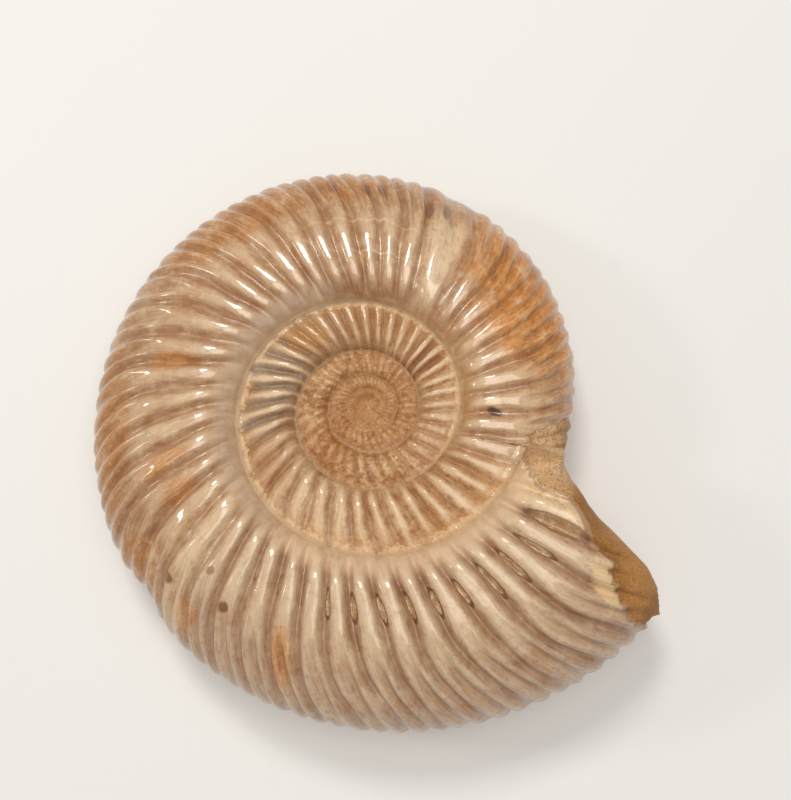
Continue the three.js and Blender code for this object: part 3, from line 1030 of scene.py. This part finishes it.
def paint_spots(stone):
    """Small brown spots on the upper flank, and the dark floor of the pit."""

    def spot(*place, **more):
        return stone.stained(*place, wander=stone.small_wander, **more)

    spots = spot(238.0, 0.605, 1.3, 0.035)
    spots = spots.math("MAXIMUM", spot(230.7, 0.495, 1.0, 0.03) * 0.7)
    spots = spots.math("MAXIMUM", spot(224.0, 0.73, 1.3, 0.03))
    for angle, height in ((66.7, 0.79), (71.5, 0.76), (85.8, 0.8), (90.4, 0.79), (99.5, 0.82)):
        spots = spots.math("MAXIMUM", spot(angle, height, 1.3, 0.07, slant=9.0) * 0.8)
    stone.paint(SPOT_BROWN, spots * stone.upper * 0.85)
    pit = spot(PIT_ANGLE, PIT_HEIGHT, 1.7, 0.07, slant=-8.0) * stone.upper
    stone.paint(DARK_BROWN, pit * 0.9)


def paint_lenses(stone):
    """Lens-shaped marks in the last grooves, each a pale core flecked with painted glints in a dark
    outline.
    """
    spindle = build_spindle_group()
    # The ivory flecks in the lens cores are painted glints.
    core_with_painted_glints = stone.mix(LENS_SAND, IVORY, stone.fine.rise(0.48, 0.56))
    outlines = 0.0
    for first_groove, last_groove, half_height, half_width, strength in LENSES:
        outline, core = stone.use(
            spindle, ["Outline", "Core"], groove_number=stone.groove, height=stone.up,
            wander=stone.small_wander * 0.5, half_height=half_height, half_width=half_width,
            first_groove=first_groove, last_groove=last_groove,
        )
        stone.paint(LENS_BROWN, outline * stone.upper * strength)
        stone.paint(core_with_painted_glints, core * stone.upper * strength)
        outlines = outline * stone.upper * strength + outlines
    return outlines


def paint_bare_stone(stone):
    """Past the broken edge: pale and speckled near the seam, golden brown beyond."""
    speckled = (1 - stone.angle.rise(0.0, 10.0)).math("MAXIMUM", 1 - stone.up.rise(0.2, 0.36))
    infill = stone.mix(GOLDEN, INFILL_PALE, speckled)
    shade = stone.broad.rise(0.42, 0.6) * (1 - speckled) * 0.6
    infill = stone.mix(infill, INFILL_SHADE, shade)
    infill = stone.mix(infill, INFILL_MOTTLE, stone.middling.rise(0.44, 0.6) * speckled * 0.6)
    infill = stone.mix(infill, INFILL_GRAIN, stone.grain * 0.7)
    infill = stone.mix(infill, INFILL_SPARKLE, stone.sparkle * 0.55)
    stone.paint(infill, stone.bare)
    stone.paint(EDGE_BROWN, (stone.bare - 0.35).bell(0.3) * stone.upper * 0.5)


def polished_stone():
    material = bpy.data.materials.new("polished_ammonite_stone")
    material.use_nodes = True
    tree = material.node_tree
    shader = tree.nodes["Principled BSDF"]
    stone = Finish(tree)

    pale_half = stone.between(226.0, 331.0, 9.0) * stone.upper
    paint_body(stone, pale_half)
    warm = paint_warm_stains(stone)
    paint_constrictions(stone)
    paint_growth_lines(stone)
    paint_grooves(stone, warm)
    paint_veins(stone)
    paint_wall(stone)
    sand = paint_second_turn(stone)
    paint_middle(stone)
    splinters = paint_broken_edge(stone)
    paint_spots(stone)
    lenses = paint_lenses(stone)
    paint_bare_stone(stone)
    tree.links.new(stone.colour, shader.inputs["Base Color"])

    # The shell is polished, satin on its pale half, and dull in the middle and where it is gone.
    dull = stone.bare.math("MAXIMUM", stone.middle * 0.85)
    dull = dull.math("MAXIMUM", stone.inner * 0.6 + sand * 0.3)
    polish = (1 - dull.math("MAXIMUM", pale_half * 0.5)) * (1 - 0.3 * stone.fine.rise(0.5, 0.66))
    feed(tree, 0.36 + 0.36 * dull + 0.12 * (stone.fine - 0.5), shader.inputs["Roughness"])
    feed(tree, polish, shader.inputs["Coat Weight"])
    shader.inputs["Coat Roughness"].default_value = 0.06
    shader.inputs["Coat IOR"].default_value = 1.52

    bump = tree.nodes.new("ShaderNodeBump")
    bump.inputs["Strength"].default_value = 0.55
    bump.inputs["Distance"].default_value = 0.00025
    lively = 0.25 + warm * 0.45 + lenses * 1.6 + splinters * 1.5
    surface = stone.lift * (0.1 + 1.1 * dull) + stone.threads * lively
    surface = surface + stone.fine * (0.18 + lenses * 1.2) + stone.middling * 0.5
    feed(tree, surface, bump.inputs["Height"])
    tree.links.new(bump.outputs[0], shader.inputs["Normal"])
    return material


ammonite = bpy.data.objects.new("ammonite_stone", strip)
bpy.context.scene.collection.objects.link(ammonite)
winding = ammonite.modifiers.new("winding", "NODES")
winding.node_group = wind_the_coil()
stone_finish = polished_stone()
for item in winding.node_group.interface.items_tree:
    if item.in_out == "INPUT" and item.name in COIL:
        winding[item.identifier] = COIL[item.name]
    if item.in_out == "INPUT" and item.name == "Finish":
        winding[item.identifier] = stone_finish
graph = bpy.context.evaluated_depsgraph_get()
wound_mesh = bpy.data.meshes.new_from_object(
    ammonite.evaluated_get(graph), preserve_all_data_layers=True, depsgraph=graph
)
ammonite.modifiers.clear()
ammonite.data = wound_mesh
bpy.data.meshes.remove(strip)
wound_mesh.name = "ammonite_stone"
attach(ammonite, "root")
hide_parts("ammonite")


# Studio: a plain pale table top, soft light from all round and above, and two small lamps whose
# reflections lie along the rib crests.
def pale_table():
    material = bpy.data.materials.new("pale_table_top")
    material.use_nodes = True
    tree = material.node_tree
    shader = tree.nodes["Principled BSDF"]
    here = tree.nodes.new("ShaderNodeTexCoord").outputs["Object"]
    cloudy = noise(tree, here, 6.0, 3.0)
    ramp = tree.nodes.new("ShaderNodeMix")
    ramp.data_type = "RGBA"
    feed(tree, cloudy, ramp.inputs[0])
    ramp.inputs[6].default_value = stone_colour(234, 232, 229)
    ramp.inputs[7].default_value = stone_colour(240, 238, 236)
    tree.links.new(ramp.outputs[2], shader.inputs["Base Color"])
    shader.inputs["Roughness"].default_value = 0.75
    return material


FLOOR_HALF = 1.5
floor_mesh = bpy.data.meshes.new("table_top")
floor_mesh.from_pydata(
    [(-FLOOR_HALF, -FLOOR_HALF, 0), (FLOOR_HALF, -FLOOR_HALF, 0),
     (FLOOR_HALF, FLOOR_HALF, 0), (-FLOOR_HALF, FLOOR_HALF, 0)],
    [],
    [(0, 1, 2, 3)],
)
floor_mesh.materials.append(pale_table())
table_top = bpy.data.objects.new("table_top", floor_mesh)
bpy.context.scene.collection.objects.link(table_top)

world = bpy.data.worlds.new("soft_room")
world.use_nodes = True
world.node_tree.nodes["Background"].inputs["Color"].default_value = (1.0, 0.985, 0.95, 1.0)
world.node_tree.nodes["Background"].inputs["Strength"].default_value = 0.32
bpy.context.scene.world = world


def lamp(name, place, aim, width, length, watts, colour):
    light = bpy.data.lights.new(name, "AREA")
    light.shape = "RECTANGLE"
    light.size = width
    light.size_y = length
    light.energy = watts
    light.color = colour
    stand = bpy.data.objects.new(name, light)
    stand.location = place
    stand.rotation_euler = (Vector(aim) - Vector(place)).to_track_quat("-Z", "Y").to_euler()
    bpy.context.scene.collection.objects.link(stand)
    return stand


lamp("soft_overhead", (0.08, -0.02, 0.85), (0, 0, 0), 0.5, 0.5, 3.0, (1.0, 0.99, 0.95))
lamp("crest_lamp", (-0.055, 0.19, 0.39), (0, 0, 0.015), 0.09, 0.09, 0.6, (1.0, 0.98, 0.93))
lamp("window_lamp", (-0.34, 0.05, 0.27), (0, 0, 0.015), 0.06, 0.06, 0.2, (1.0, 0.98, 0.95))

# The stone's colours are shown as they are given, without a film-like curve.
bpy.context.scene.view_settings.view_transform = "Standard"

# The photograph's viewing angle: almost straight down, 9 degrees off the vertical.
CAMERA_TILT = math.radians(9.06)
LOOKED_AT = Vector((0.00126, -0.00157, 0.0125))
VIEW_DISTANCE = 0.1502
FOCAL_PIXELS = 1150.0
IMAGE = (791, 800)
LOOKED_AT_PIXEL = (379.5, 451.5)
LEANS_TOWARDS = (-0.1227, 0.9924)
forward = Vector((
    LEANS_TOWARDS[0] * math.sin(CAMERA_TILT),
    LEANS_TOWARDS[1] * math.sin(CAMERA_TILT),
    -math.cos(CAMERA_TILT),
)).normalized()
right = (Vector((1, 0, 0)) - forward.x * forward).normalized()
upward = right.cross(forward)
across = (LOOKED_AT_PIXEL[0] - IMAGE[0] / 2) / FOCAL_PIXELS
down = (LOOKED_AT_PIXEL[1] - IMAGE[1] / 2) / FOCAL_PIXELS
camera_data = bpy.data.cameras.new("view_camera")
camera_data.sensor_width = 36.0
camera_data.lens = 36.0 * FOCAL_PIXELS / max(IMAGE)
camera_data.clip_start = 0.01
camera_data.clip_end = 10.0
camera = bpy.data.objects.new("view_camera", camera_data)
camera.location = LOOKED_AT - VIEW_DISTANCE * (forward + across * right - down * upward)
camera.rotation_mode = "QUATERNION"
camera.rotation_quaternion = Matrix((right, upward, -forward)).transposed().to_quaternion()
bpy.context.scene.collection.objects.link(camera)
bpy.context.scene.camera = camera
